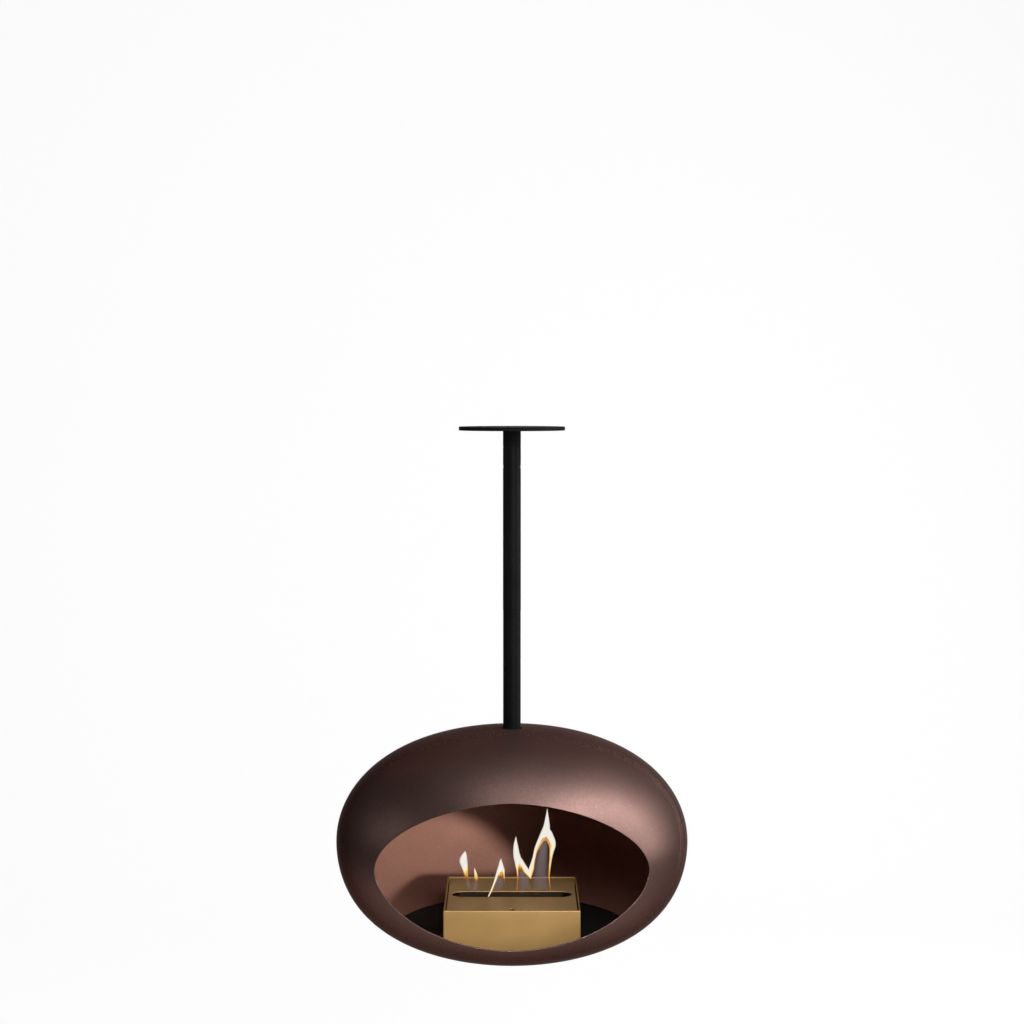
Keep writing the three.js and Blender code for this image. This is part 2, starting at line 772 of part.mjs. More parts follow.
const coverHalfWidth = casingInnerHalfWidth - coverSideGap;
const slotLength = 2 * (coverHalfWidth - slotEndMargin);
const tankHalfWidth = railInner - tankPlay;
const tankHalfDepth = casingInnerHalfDepth - tankFrontPlay;
const flangeHalfWidth = casingInnerHalfWidth - tankFlangePlay;
const neckLength = slotLength - 2 * neckInset;
const neckWidth = slotWidth - 2 * neckInset;
const neckBoreLength = neckLength - 2 * neckWall;
const neckBoreWidth = neckWidth - 2 * neckWall;
const tankInnerTop = tankLevel - tankWall;
const gridTop = tankInnerTop - seat;
const woolTop = gridTop - gridThickness - seat;
const woolFoot = tankFoot + tankWall + seat;

function fuelTank() {
  const body = burnerBlock(tankHalfWidth, tankHalfDepth, tankFoot, tankLevel);
  const flange = burnerBlock(flangeHalfWidth, tankHalfDepth, tankLevel - tankWall, tankLevel);
  const neck = prism(stadium(neckLength, neckWidth), tankLevel - seat, coverLevel - neckRecess);
  const hollow = burnerBlock(tankHalfWidth - tankWall, tankHalfDepth - tankWall, tankFoot + tankWall,
    tankInnerTop);
  const bore = prism(stadium(neckBoreLength, neckBoreWidth), tankInnerTop - seat, coverLevel);
  return body.add(flange).add(neck).subtract(hollow).subtract(bore);
}

function ceramicWool() {
  const halfWidth = tankHalfWidth - tankWall - seat;
  const halfDepth = tankHalfDepth - tankWall - seat;
  return burnerBlock(halfWidth, halfDepth, woolFoot, woolTop);
}

function flameGrid() {
  const halfLength = tankHalfWidth - tankWall - seat;
  const halfWidth = neckBoreWidth / 2 + gridMargin;
  let grid = burnerBlock(halfLength, halfWidth, gridTop - gridThickness, gridTop);
  const columnPitch = (neckBoreLength - neckBoreWidth) / gridColumns;
  const rowPitch = neckBoreWidth / gridRows;
  for (let column = 0; column < gridColumns; column += 1) {
    for (let row = 0; row < gridRows; row += 1) {
      const x = columnPitch * (column + 0.5 - gridColumns / 2);
      const y = burnerBack + rowPitch * (row + 0.5 - gridRows / 2);
      const [reachX, reachY] = [(columnPitch - gridBar) / 2, (rowPitch - gridBar) / 2];
      grid = grid.subtract(block([x - reachX, y - reachY, gridTop - gridThickness - seat],
        [x + reachX, y + reachY, gridTop + seat]));
    }
  }
  return grid;
}

add('fuel_tank', fuelTank(), brightSteel);
add('ceramic_wool', ceramicWool(), paleWool);
add('flame_grid', flameGrid(), brightSteel);

// ---------------------------------------------------------------- cover plate

function burnerCover() {
  const front = burnerBack - casingInnerHalfDepth + coverFrontGap;
  const back = burnerBack + casingInnerHalfDepth - coverBackGap;
  const half = coverHalfWidth;
  let cover = block([-half, front, coverLevel - coverThickness], [half, back, coverLevel]);
  for (const side of [-1, 1]) {
    const edges = [side * half, side * (half - coverFlange)].sort((a, b) => a - b);
    cover = cover.add(block([edges[0], burnerBack - tankHalfDepth, tankLevel + seat],
      [edges[1], burnerBack + tankHalfDepth, coverLevel]));
  }
  const slot = prism(stadium(slotLength, slotWidth), coverLevel - coverThickness - seat, coverLevel + seat);
  const liftHole = bar(liftHoleRadius, coverLevel - coverThickness - seat, coverLevel + seat);
  return cover.subtract(slot).subtract(liftHole.translate([0, front + liftHoleInset, 0]));
}

add('burner_cover', burnerCover(), brassSteel);

export default fireplace;
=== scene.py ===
import json
import math

import bmesh
import bpy
import numpy as np
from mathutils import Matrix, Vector


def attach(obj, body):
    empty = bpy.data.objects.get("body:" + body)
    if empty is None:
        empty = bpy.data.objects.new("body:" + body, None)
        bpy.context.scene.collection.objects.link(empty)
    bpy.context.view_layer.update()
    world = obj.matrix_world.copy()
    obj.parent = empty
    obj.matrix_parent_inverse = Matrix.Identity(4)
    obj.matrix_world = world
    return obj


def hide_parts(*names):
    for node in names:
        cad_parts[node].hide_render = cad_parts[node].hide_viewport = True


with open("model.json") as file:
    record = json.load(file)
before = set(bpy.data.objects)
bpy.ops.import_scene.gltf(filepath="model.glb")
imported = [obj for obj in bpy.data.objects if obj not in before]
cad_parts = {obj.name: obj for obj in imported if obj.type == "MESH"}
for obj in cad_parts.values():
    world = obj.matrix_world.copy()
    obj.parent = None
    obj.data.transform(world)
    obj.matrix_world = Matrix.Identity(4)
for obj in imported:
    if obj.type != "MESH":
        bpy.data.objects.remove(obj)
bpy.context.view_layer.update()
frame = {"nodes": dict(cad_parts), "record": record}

MM = 0.001

# ---------------------------------------------------------------- camera

CAMERA_PLACE = (0.0, -4.0925, 0.0594)
FRAME_PIXELS = 1024
FOCAL_PIXELS = 1934.5
LEVEL_ROW = 398.5  # image row of the camera's own height
MIDDLE_COLUMN = 511.9
SENSOR_WIDTH = 36.0


def add_camera():
    """A level camera whose frame is shifted down to the object, as in the photograph."""
    data = bpy.data.cameras.new("camera")
    data.sensor_width = SENSOR_WIDTH
    data.lens = SENSOR_WIDTH * FOCAL_PIXELS / FRAME_PIXELS
    data.shift_x = (FRAME_PIXELS / 2 - MIDDLE_COLUMN) / FRAME_PIXELS
    data.shift_y = (LEVEL_ROW - FRAME_PIXELS / 2) / FRAME_PIXELS
    camera = bpy.data.objects.new("camera", data)
    camera.location = CAMERA_PLACE
    camera.rotation_euler = (math.pi / 2, 0.0, 0.0)
    bpy.context.scene.collection.objects.link(camera)
    bpy.context.scene.camera = camera


# ---------------------------------------------------------------- node materials


class Finish:
    """A node material around one Principled shader, with patterns in the piece's own coordinates."""

    def __init__(self, name, **constants):
        self.material = bpy.data.materials.new(name)
        self.material.use_nodes = True
        self.tree = self.material.node_tree
        self.shader = self.tree.nodes["Principled BSDF"]
        for socket, value in constants.items():
            self.shader.inputs[socket.replace("_", " ")].default_value = value
        self.place = self.node("ShaderNodeTexCoord").outputs["Object"]

    def node(self, kind, **properties):
        made = self.tree.nodes.new(kind)
        for name, value in properties.items():
            setattr(made, name, value)
        return made

    def link(self, source, target):
        self.tree.links.new(source, target)

    def stretched(self, stretch):
        """The piece's coordinates, scaled along each axis."""
        scale = self.node("ShaderNodeMapping", vector_type="POINT")
        scale.inputs["Scale"].default_value = stretch
        self.link(self.place, scale.inputs["Vector"])
        return scale.outputs["Vector"]

    def noise(self, per_metre, detail=2.0, stretch=None, roughness=0.5):
        """Soft noise between 0 and 1, with so many cycles per metre."""
        texture = self.node("ShaderNodeTexNoise")
        texture.inputs["Scale"].default_value = per_metre
        texture.inputs["Detail"].default_value = detail
        texture.inputs["Roughness"].default_value = roughness
        self.link(self.stretched(stretch) if stretch else self.place, texture.inputs["Vector"])
        return texture.outputs["Fac"]

    def cells(self, per_metre):
        """A random value between 0 and 1 for each small cell, for flakes in a paint."""
        texture = self.node("ShaderNodeTexVoronoi")
        texture.inputs["Scale"].default_value = per_metre
        self.link(self.place, texture.inputs["Vector"])
        split = self.node("ShaderNodeSeparateColor")
        self.link(texture.outputs["Color"], split.inputs["Color"])
        return split.outputs["Red"]

    def spread(self, value, low, high, start=0.3, end=0.7):
        """The value moved from start..end to low..high."""
        scale = self.node("ShaderNodeMapRange")
        for socket, number in zip(("From Min", "From Max", "To Min", "To Max"), (start, end, low, high)):
            scale.inputs[socket].default_value = number
        self.link(value, scale.inputs["Value"])
        return scale.outputs["Result"]

    def calculate(self, operation, first, second):
        """The result of a sum or comparison; each value is a number or an earlier result."""
        made = self.node("ShaderNodeMath", operation=operation)
        for socket, value in zip(made.inputs, (first, second)):
            if isinstance(value, (int, float)):
                socket.default_value = value
            else:
                self.link(value, socket)
        return made.outputs["Value"]

    def mix(self, share, first, second):
        """A colour between two colours, each a tuple or an earlier result."""
        made = self.node("ShaderNodeMix", data_type="RGBA")
        self.link(share, made.inputs["Factor"])
        for socket, value in ((made.inputs[6], first), (made.inputs[7], second)):
            if isinstance(value, tuple):
                socket.default_value = (*value, 1.0)
            else:
                self.link(value, socket)
        return made.outputs[2]

    def colour(self, value):
        self.link(value, self.shader.inputs["Base Color"])

    def roughness(self, value):
        self.link(value, self.shader.inputs["Roughness"])

    def bump(self, height, depth):
        """Relief of the given depth in metres."""
        made = self.node("ShaderNodeBump")
        made.inputs["Distance"].default_value = depth
        self.link(height, made.inputs["Height"])
        self.link(made.outputs["Normal"], self.shader.inputs["Normal"])


def shade(colour, factor):
    return tuple(channel * factor for channel in colour)


EDGE_TINT = (0.20, 0.16, 0.15, 1.0)  # set for dark limbs from the front; they redden from behind


def metallic_paint(name, colour):
    """Satin powder coat with metal flakes and a fine orange peel."""
    finish = Finish(name, Metallic=1.0, Specular_Tint=EDGE_TINT)
    flakes = finish.cells(900)
    bright = finish.spread(flakes, 0.0, 1.0, 0.75, 1.0)
    cloud = finish.noise(9, 3)
    body = finish.mix(finish.spread(cloud, 0.0, 1.0), shade(colour, 0.93), shade(colour, 1.07))
    finish.colour(finish.mix(bright, body, shade(colour, 1.5)))
    grain = finish.noise(650, 2)
    finish.roughness(finish.spread(grain, 0.42, 0.50))
    finish.bump(grain, 0.03 * MM)
    return finish.material


def matte_paint(name, colour):
    """Dull coat with a few flakes, as on the dome's inside."""
    finish = Finish(name, Metallic=0.1, Specular_Tint=EDGE_TINT, Specular_IOR_Level=0.15)
    flakes = finish.spread(finish.cells(900), 0.0, 1.0, 0.75, 1.0)
    cloud = finish.noise(9, 3)
    body = finish.mix(finish.spread(cloud, 0.0, 1.0), shade(colour, 0.93), shade(colour, 1.07))
    finish.colour(finish.mix(flakes, body, shade(colour, 1.4)))
    grain = finish.noise(650, 2)
    finish.roughness(finish.spread(grain, 0.44, 0.52))
    finish.bump(grain, 0.05 * MM)
    return finish.material


def black_coat(name, level, rough, peel=0.03):
    """Black powder coat or heat-proof paint with a fine grain; peel is its depth in millimetres."""
    finish = Finish(name, IOR=1.45, Specular_IOR_Level=0.04)
    cloud = finish.noise(30, 3)
    colour = (level, level, level)
    finish.colour(finish.mix(finish.spread(cloud, 0.0, 1.0), shade(colour, 0.85), shade(colour, 1.15)))
    grain = finish.noise(900, 2)
    finish.roughness(finish.spread(grain, rough - 0.05, rough + 0.05))
    finish.bump(grain, peel * MM)
    return finish.material


def satin_metal(name, colour, rough, lengthways=(1.0, 1.0, 1.0), density=500, depth=0.006,
                patches=0.06, metallic=1.0):
    """Metal with fine brushed lines that run where lengthways is small, and soft patches."""
    finish = Finish(name, Metallic=metallic)
    cloud = finish.noise(14, 3)
    darker, paler = shade(colour, 1 - patches), shade(colour, 1 + patches)
    finish.colour(finish.mix(finish.spread(cloud, 0.0, 1.0), darker, paler))
    lines = finish.noise(density, 3, lengthways)
    finish.roughness(finish.spread(lines, rough - 0.05, rough + 0.05))
    finish.bump(lines, depth * MM)
    return finish.material


def rubber(name):
    finish = Finish(name, IOR=1.5, Specular_IOR_Level=0.06)
    grain = finish.noise(1200, 2)
    finish.colour(finish.mix(grain, (0.002, 0.002, 0.002), (0.005, 0.005, 0.005)))
    finish.roughness(finish.spread(grain, 0.72, 0.85))
    finish.bump(grain, 0.02 * MM)
    return finish.material


def wool(name):
    """Matted ceramic fibre, scorched in patches."""
    finish = Finish(name, IOR=1.45)
    fibres = finish.noise(420, 5, (1.0, 0.35, 1.0))
    scorch = finish.spread(finish.noise(24, 3), 0.0, 1.0, 0.5, 0.75)
    pale = finish.mix(fibres, (0.60, 0.57, 0.51), (0.80, 0.78, 0.73))
    finish.colour(finish.mix(scorch, pale, (0.25, 0.22, 0.19)))
    finish.roughness(finish.spread(fibres, 0.85, 1.0))
    finish.bump(fibres, 0.6 * MM)
    return finish.material


EVEN = (1.0, 1.0, 1.0)  # grain without a direction
ACROSS_X = (0.02, 1.0, 1.0)  # brushed lines along X
ALONG_Y = (1.0, 0.02, 1.0)  # brushed lines along Y

paints = {
    "ceiling_black": black_coat("black matte coat", 0.004, 0.62),
    "pole_black": black_coat("black satin coat", 0.004, 0.42),
    "dome_mocha": metallic_paint("mocha metallic coat", (0.110, 0.067, 0.059)),
    "floor_black": black_coat("heat-proof black", 0.016, 0.6, 0.05),
    "hub_black": black_coat("heat-proof black on the hub", 0.012, 0.6, 0.05),
    "burner_brass": satin_metal("satin brass", (0.57, 0.355, 0.127), 0.45, metallic=0.4),
    "cover_brass": satin_metal("satin brass of the cover", (0.60, 0.386, 0.174), 0.45, metallic=0.4),
    "tank_steel": satin_metal("heat-tinted steel", (0.10, 0.068, 0.044), 0.42, ACROSS_X, 600, 0.006, 0.15),
    # The grid's steel is near-black, so that the slot's inside shows dark under the flames.
    "grid_steel": satin_metal("near-black steel grid", (0.055, 0.048, 0.042), 0.5, EVEN, 500, 0.01, 0.2),
    "rail_steel": satin_metal("brushed steel", (0.50, 0.50, 0.50), 0.35, ALONG_Y, 600),
    "fastener_steel": satin_metal("zinc-plated steel", (0.52, 0.53, 0.55), 0.36, EVEN, 700),
    "bearing_steel": satin_metal("ground steel", (0.62, 0.62, 0.64), 0.18, EVEN, 1500, 0.002, 0.03),
    "cage_brass": satin_metal("machined brass", (0.55, 0.40, 0.18), 0.3, EVEN, 900),
    "seal_rubber": rubber("black silicone"),
    "ceramic_wool": wool("ceramic wool"),
}

# The inside's colour is the outer mocha made about twice as bright and redder: painted light, standing in
# for light bounced round inside the dome.
dome_inside_paint_with_painted_bounce = matte_paint("mocha coat inside with painted bounce light", (0.21, 0.100, 0.072))

# ---------------------------------------------------------------- pieces


def add_piece(name, vertices, faces, body, slot, stands_for=(), paint=None):
    """A new smooth mesh that rides on a body, takes the slot's paint and stands for CAD nodes."""
    mesh = bpy.data.meshes.new(name)
    mesh.from_pydata([tuple(v) for v in vertices], [], faces)
    mesh.shade_smooth()
    mesh.materials.append(paint or paints[slot])
    piece = bpy.data.objects.new(name, mesh)
    bpy.context.scene.collection.objects.link(piece)
    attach(piece, body)
    if stands_for:
        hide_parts(*stands_for)
    return piece


WELD_REACH = 0.002 * MM
FLAT_ANGLE = math.radians(0.5)  # faces that meet under this are one flat
CREASE_ANGLE = math.radians(38)  # edges sharper than this are rounded


def soften(piece, bevel):
    """Rounds a piece's hard edges and smooths its faceted round walls, through modifiers alone."""
    weld = piece.modifiers.new("weld", "WELD")
    weld.merge_threshold = WELD_REACH
    flat = piece.modifiers.new("flat", "DECIMATE")
    flat.decimate_type = "DISSOLVE"
    flat.angle_limit = FLAT_ANGLE
    edge = piece.modifiers.new("edge", "BEVEL")
    edge.width = bevel
    edge.segments = 2
    edge.limit_method = "ANGLE"
    edge.angle_limit = CREASE_ANGLE
    edge.miter_outer = "MITER_ARC"
    normals = piece.modifiers.new("normals", "WEIGHTED_NORMAL")
    normals.weight = 60


EDGE_ROUNDING = {  # in millimetres, where it isn't the usual one
    "ceiling_plate": 0.7, "burner_cover": 0.5, "fuel_tank": 0.35, "floor_plate": 0.5,
    "pole_upper": 0.35, "pole_lower": 0.35, "swivel_housing": 0.5, "dome_hub": 0.8, "pole_seal": 0.5,
    "flame_grid": 0.15, "ceramic_wool": 2.0,
}
USUAL_ROUNDING = 0.25


def dress_frame(left_alone):
    """Gives each CAD node its paint and softened edges."""
    slots = {part["node"]: part["material_slot"] for part in frame["record"]["subparts"]}
    for name, node in frame["nodes"].items():
        if name in left_alone:
            continue
        node.material_slots[0].material = paints[slots[name]]
        soften(node, EDGE_ROUNDING.get(name, USUAL_ROUNDING) * MM)


# ---------------------------------------------------------------- swivel seam

SEAM_MIDDLE = -42.4 * MM
SEAM_GAP = 0.8 * MM
SEAM_PLAY = 0.05 * MM  # above and below the ring
POLE_RADIUS = 19 * MM
RING_INSET = 0.8 * MM
RING_BORE_INSET = 4 * MM


def build_seam_shade_ring():
    """A black silicone ring that fills the seam between the swivel's housing and the pole, so that the seam
    shows dark: it stands in for the shade in the narrow gap.
    """
    outer, inner, half = POLE_RADIUS - RING_INSET, POLE_RADIUS - RING_BORE_INSET, SEAM_GAP / 2 - SEAM_PLAY
    corners = [(inner, -half), (outer, -half), (outer, half), (inner, half)]
    around = 96
    angles = [2 * math.pi * i / around for i in range(around)]
    vertices = [
        (radius * math.cos(angle), radius * math.sin(angle), SEAM_MIDDLE + rise)
        for angle in angles for radius, rise in corners]
    faces = []
    for i in range(around):
        a, b = 4 * i, 4 * ((i + 1) % around)
        faces += [[a + k, b + k, b + (k + 1) % 4, a + (k + 1) % 4] for k in range(4)]
    ring = add_piece("seam_shade_ring", vertices, faces, "hanger", "seal_rubber")
    ring.data.set_sharp_from_angle(angle=math.radians(40))


# ---------------------------------------------------------------- burner casing

# millimetres
CASING_HALF_WIDTH = 138.75
CASING_HALF_DEPTH = 140.0
CASING_MIDDLE = -48.0
CASING_RIM, CASING_FOOT = -974.7, -1056.7
CASING_WALL, CASING_BOTTOM = 3.0, 2.0
SCREW_INSET, SCREW_HOLE_RADIUS = 30.0, 2.8
DRILL_OVERSHOOT = 2.0
RIM_ROLL = 2.1
RIM_INNER_EDGE = 0.6
FOOT_EDGE = 1.0
INNER_FOLD = 1.5
OUTER_CORNER, INNER_CORNER = 2.2, 0.8


def arc(centre_inset, centre_level, radius, start, end, steps):
    """Stations along a quarter of a fillet, each an inset from the casing's outside and a level."""
    angles = np.radians(np.linspace(start, end, steps + 1))
    return [(centre_inset - radius * math.cos(a), centre_level + radius * math.sin(a)) for a in angles]


def rounded_rectangle(inset, corner, steps=6):
    """Corner-rounded outline of the casing at an inset from its outside, anticlockwise from above."""
    half_x, half_y = CASING_HALF_WIDTH - inset, CASING_HALF_DEPTH - inset
    points = []
    for quarter, (side_x, side_y) in enumerate(((1, 1), (-1, 1), (-1, -1), (1, -1))):
        for step in range(steps + 1):
            angle = math.pi / 2 * (quarter + step / steps)
            points.append((side_x * (half_x - corner) + corner * math.cos(angle),
                           CASING_MIDDLE + side_y * (half_y - corner) + corner * math.sin(angle)))
    return points


def drilled(piece, drills):
    """Cuts the drills' shapes out of a piece for good."""
    for drill in drills:
        cut = piece.modifiers.new("cut", "BOOLEAN")
        cut.object = drill
        cut.solver = "EXACT"
    bpy.context.view_layer.update()
    whole = piece.evaluated_get(bpy.context.evaluated_depsgraph_get())
    cut_mesh = bpy.data.meshes.new_from_object(whole)
    piece.modifiers.clear()
    piece.data = cut_mesh
    for drill in drills:
        bpy.data.objects.remove(drill)


def drill_at(x, y, radius, low, high):
    """An upright round cutter between two levels."""
    shape = bmesh.new()
    bmesh.ops.create_cone(shape, cap_ends=True, segments=32, radius1=radius * MM, radius2=radius * MM,
                          depth=(high - low) * MM)
    bmesh.ops.translate(shape, verts=shape.verts, vec=(x * MM, y * MM, (low + high) / 2 * MM))
    mesh = bpy.data.meshes.new("drill")
    shape.to_mesh(mesh)
    shape.free()
    drill = bpy.data.objects.new("drill", mesh)
    bpy.context.scene.collection.objects.link(drill)
    return drill


def build_casing():
    """The folded casing: a square box whose rim is rolled over at the outside."""
    floor_level = CASING_FOOT + CASING_BOTTOM
    stations = arc(FOOT_EDGE, CASING_FOOT + FOOT_EDGE, FOOT_EDGE, -90, 0, 4)
    stations += arc(RIM_ROLL, CASING_RIM - RIM_ROLL, RIM_ROLL, 0, 90, 8)
    stations += [
        (CASING_WALL - inset, level)
        for inset, level in arc(RIM_INNER_EDGE, CASING_RIM - RIM_INNER_EDGE, RIM_INNER_EDGE, 90, 0, 4)]
    stations += [
        (CASING_WALL + INNER_FOLD * (1 - math.cos(a)), floor_level + INNER_FOLD * (1 - math.sin(a)))
        for a in np.radians(np.linspace(0, 90, 5))]
    vertices, rows = [], []
    for inset, level in stations:
        corner = max(OUTER_CORNER - inset, INNER_CORNER) if inset < CASING_WALL else INNER_CORNER
        ring = rounded_rectangle(inset, corner)
        rows.append(len(vertices))
        vertices += [(MM * x, MM * y, MM * level) for x, y in ring]
    count = len(ring)
    faces = []
    for low, high in zip(rows, rows[1:]):
        for i in range(count):
            j = (i + 1) % count
            faces.append([low + i, low + j, high + j, high + i])
    faces.append([rows[0] + i for i in range(count)][::-1])
    faces.append([rows[-1] + i for i in range(count)])
    casing = add_piece("burner_casing_folded", vertices, faces, "hanger", "burner_brass", ["burner_casing"])
    reach_x, reach_y = CASING_HALF_WIDTH - SCREW_INSET, CASING_HALF_DEPTH - SCREW_INSET
    drills = [
        drill_at(side_x * reach_x, CASING_MIDDLE + side_y * reach_y, SCREW_HOLE_RADIUS,
                 CASING_FOOT - DRILL_OVERSHOOT, floor_level + DRILL_OVERSHOOT)
        for side_x in (-1, 1) for side_y in (-1, 1)]
    drilled(casing, drills)
    casing.data.shade_smooth()
    casing.data.set_sharp_from_angle(angle=math.radians(35))
    normals = casing.modifiers.new("normals", "WEIGHTED_NORMAL")
    normals.keep_sharp = True


# ---------------------------------------------------------------- dome

# metres
WIDEST_LEVEL = -0.869
DOME_RADIUS = 0.370
DOME_RISE, UPPER_SLIMNESS, UPPER_CROWN = 0.232, -0.066, 0.147
DOME_DROP, LOWER_SLIMNESS, LOWER_CROWN = 0.243, 0.132, 0.026
DOME_WALL = 0.002
CROWN_HOLE = 0.022
OPENING_HALF_WIDTH = 0.2744
OPENING_HALF_HEIGHT = 0.1459
OPENING_LEVEL = WIDEST_LEVEL - 0.0097
OPENING_EXPONENT = 1.83
EDGE_BULGE = 0.3 * MM


def dome_profile(t):
    """Radius and level of the dome's profile at parameter t, and its outward normal there."""
    upper = t >= 0
    height = np.where(upper, DOME_RISE, DOME_DROP)
    slimness = np.where(upper, UPPER_SLIMNESS, LOWER_SLIMNESS)
    crown = np.where(upper, UPPER_CROWN, LOWER_CROWN)
    s, c = np.sin(t), np.cos(t)
    radius = DOME_RADIUS * c * (1 + slimness * s * s)
    level = WIDEST_LEVEL + height * s * (1 + crown * c * c)
    radius_slope = DOME_RADIUS * (-s * (1 + slimness * s * s) + 2 * slimness * s * c * c)
    level_slope = height * (c * (1 + crown * c * c) - 2 * crown * s * s * c)
    length = np.hypot(radius_slope, level_slope)
    return radius, level, level_slope / length, -radius_slope / length


def parameter_at(level):
    """The profile's parameter at each level."""
    t = np.linspace(-math.pi / 2, math.pi / 2, 20001)
    return np.interp(level, dome_profile(t)[1], t)


def dome_points(turn, t):
    """Points of the dome's outer face and their normals; turn is the angle from -Y towards +X."""
    radius, level, out, up = dome_profile(t)
    points = np.stack([radius * np.sin(turn), -radius * np.cos(turn), level], -1)
    normals = np.stack([out * np.sin(turn), -out * np.cos(turn), up], -1)
    return points, normals


def opening_rim(count):
    """Turn and parameter along the opening's edge, whose front view is a superellipse."""
    angle = 2 * math.pi * np.arange(count) / count
    power = 2 / OPENING_EXPONENT
    across, up = np.cos(angle), np.sin(angle)
    x = OPENING_HALF_WIDTH * np.sign(across) * np.abs(across) ** power
    t = parameter_at(OPENING_LEVEL + OPENING_HALF_HEIGHT * np.sign(up) * np.abs(up) ** power)
    return np.arcsin(x / dome_profile(t)[0]), t


def sphere_places(turn, t):
    """The unit directions that stand for turn and parameter."""
    return np.stack([np.cos(t) * np.sin(turn), -np.cos(t) * np.cos(turn), np.sin(t)], -1)


def build_dome():
    """The dome's shell as a fine smooth surface, with its opening and the hole for the pole."""
    around, rings, edge_rows = 384, 150, 8
    rim_turn, rim_t = opening_rim(around)
    rim = sphere_places(rim_turn, rim_t)
    # great-circle fans from the opening's middle, which faces -Y, over the rim and round to the back
    polar = np.arccos(-rim[:, 1])
    bearing = np.arctan2(rim[:, 2], rim[:, 0])
    share = np.linspace(0, 1, rings + 1)[:-1]
    angle = polar[None] + (math.pi - polar[None]) * share[:, None]
    places = np.stack([
        np.sin(angle) * np.cos(bearing), -np.cos(angle), np.sin(angle) * np.sin(bearing)], -1)
    places = np.concatenate([places.reshape(-1, 3), [[0.0, 1.0, 0.0]]])
    t = np.arcsin(np.clip(places[:, 2], -1, 1))
    turn = np.arctan2(places[:, 0], -places[:, 1])
    outer, normals = dome_points(turn, t)

    count = len(outer)
    faces = []
    for row in range(rings - 1):
        for i in range(around):
            j = (i + 1) % around
            low, high = row * around, (row + 1) * around
            faces.append([low + j, low + i, high + i, high + j])
    back_row = (rings - 1) * around
    faces += [[back_row + (i + 1) % around, back_row + i, count - 1] for i in range(around)]

    # the hole for the pole: faces wholly inside it go, and the corners left inside move to its edge
    reach = np.hypot(outer[:, 0], outer[:, 1])
    inside = (reach < CROWN_HOLE) & (outer[:, 2] > WIDEST_LEVEL)
    faces = [face for face in faces if not all(inside[i] for i in face)]
    used = np.zeros(count, bool)
    for face in faces:
        used[face] = True
    moved = used & inside
    scale = CROWN_HOLE / reach[moved]
    outer[moved, 0] *= scale
    outer[moved, 1] *= scale
    hole_t = parameter_at_radius(CROWN_HOLE)
    outer[moved, 2] = dome_profile(np.array([hole_t]))[1][0]

    inner = outer - DOME_WALL * normals
    edges = {edge: True for face in faces for edge in zip(face, face[1:] + face[:1])}
    open_edges = [(a, b) for a, b in edges if (b, a) not in edges]

    vertices = [outer, inner]
    all_normals = [normals, -normals]
    outer_faces = len(faces)
    faces = faces + [[count + i for i in face[::-1]] for face in faces]

    # the opening's cut edge: rows from the outer to the inner face, bulging a little out of the wall
    toward_middle = rim_directions(outer[:around], normals[:around])
    first = 2 * count
    for row in range(1, edge_rows):
        bend = math.pi * row / edge_rows
        depth = DOME_WALL / 2 * (1 - math.copysign(abs(math.cos(bend)) ** 0.6, math.cos(bend)))
        rise = EDGE_BULGE * abs(math.sin(bend)) ** 0.6
        vertices.append(outer[:around] - depth * normals[:around] + rise * toward_middle)
        all_normals.append(math.cos(bend) * normals[:around] + math.sin(bend) * toward_middle)
    rows = [0] + [first + k * around for k in range(edge_rows - 1)] + [count]
    for low, high in zip(rows, rows[1:]):
        for i in range(around):
            j = (i + 1) % around
            faces.append([low + i, low + j, high + j, high + i])
    for a, b in open_edges:
        if a >= around or b >= around:
            faces.append([b, a, count + a, count + b])

    vertices = np.concatenate(vertices)
    all_normals = np.concatenate(all_normals)
    kept = np.zeros(len(vertices), bool)
    for face in faces:
        kept[face] = True
    renumbered = np.cumsum(kept) - 1
    faces = [[int(renumbered[i]) for i in face] for face in faces]
    piece = add_piece("dome", vertices[kept], faces, "hanger", "dome_mocha", ["dome_shell"])
    piece.data.normals_split_custom_set_from_vertices([tuple(n) for n in all_normals[kept]])
    piece.data.materials.append(dome_inside_paint_with_painted_bounce)
    for index in range(outer_faces, 2 * outer_faces):
        piece.data.polygons[index].material_index = 1
    return piece


def parameter_at_radius(radius):
    """The upper profile's parameter at a radius."""
    t = np.linspace(0, math.pi / 2, 20001)
    return float(np.interp(-radius, -dome_profile(t)[0], t))


def rim_directions(rim, normals):
    """Unit directions in the surface, square to the rim, towards the opening's middle."""
    along = np.roll(rim, -1, 0) - np.roll(rim, 1, 0)
    across = np.cross(normals, along)
    across /= np.linalg.norm(across, axis=1, keepdims=True)
    middle = rim.mean(0)
    return across * np.sign(np.sum(across * (middle - rim), 1, keepdims=True))


# ---------------------------------------------------------------- flames

BURNER_MIDDLE = -48.0  # millimetres, as the flames' own stations below
COVER_TOP = -976.7
SECTION_POINTS = 16
STEPS_BETWEEN = 4
FLATNESS = 0.6  # a tongue's depth over its width
THICKEST = 5.0

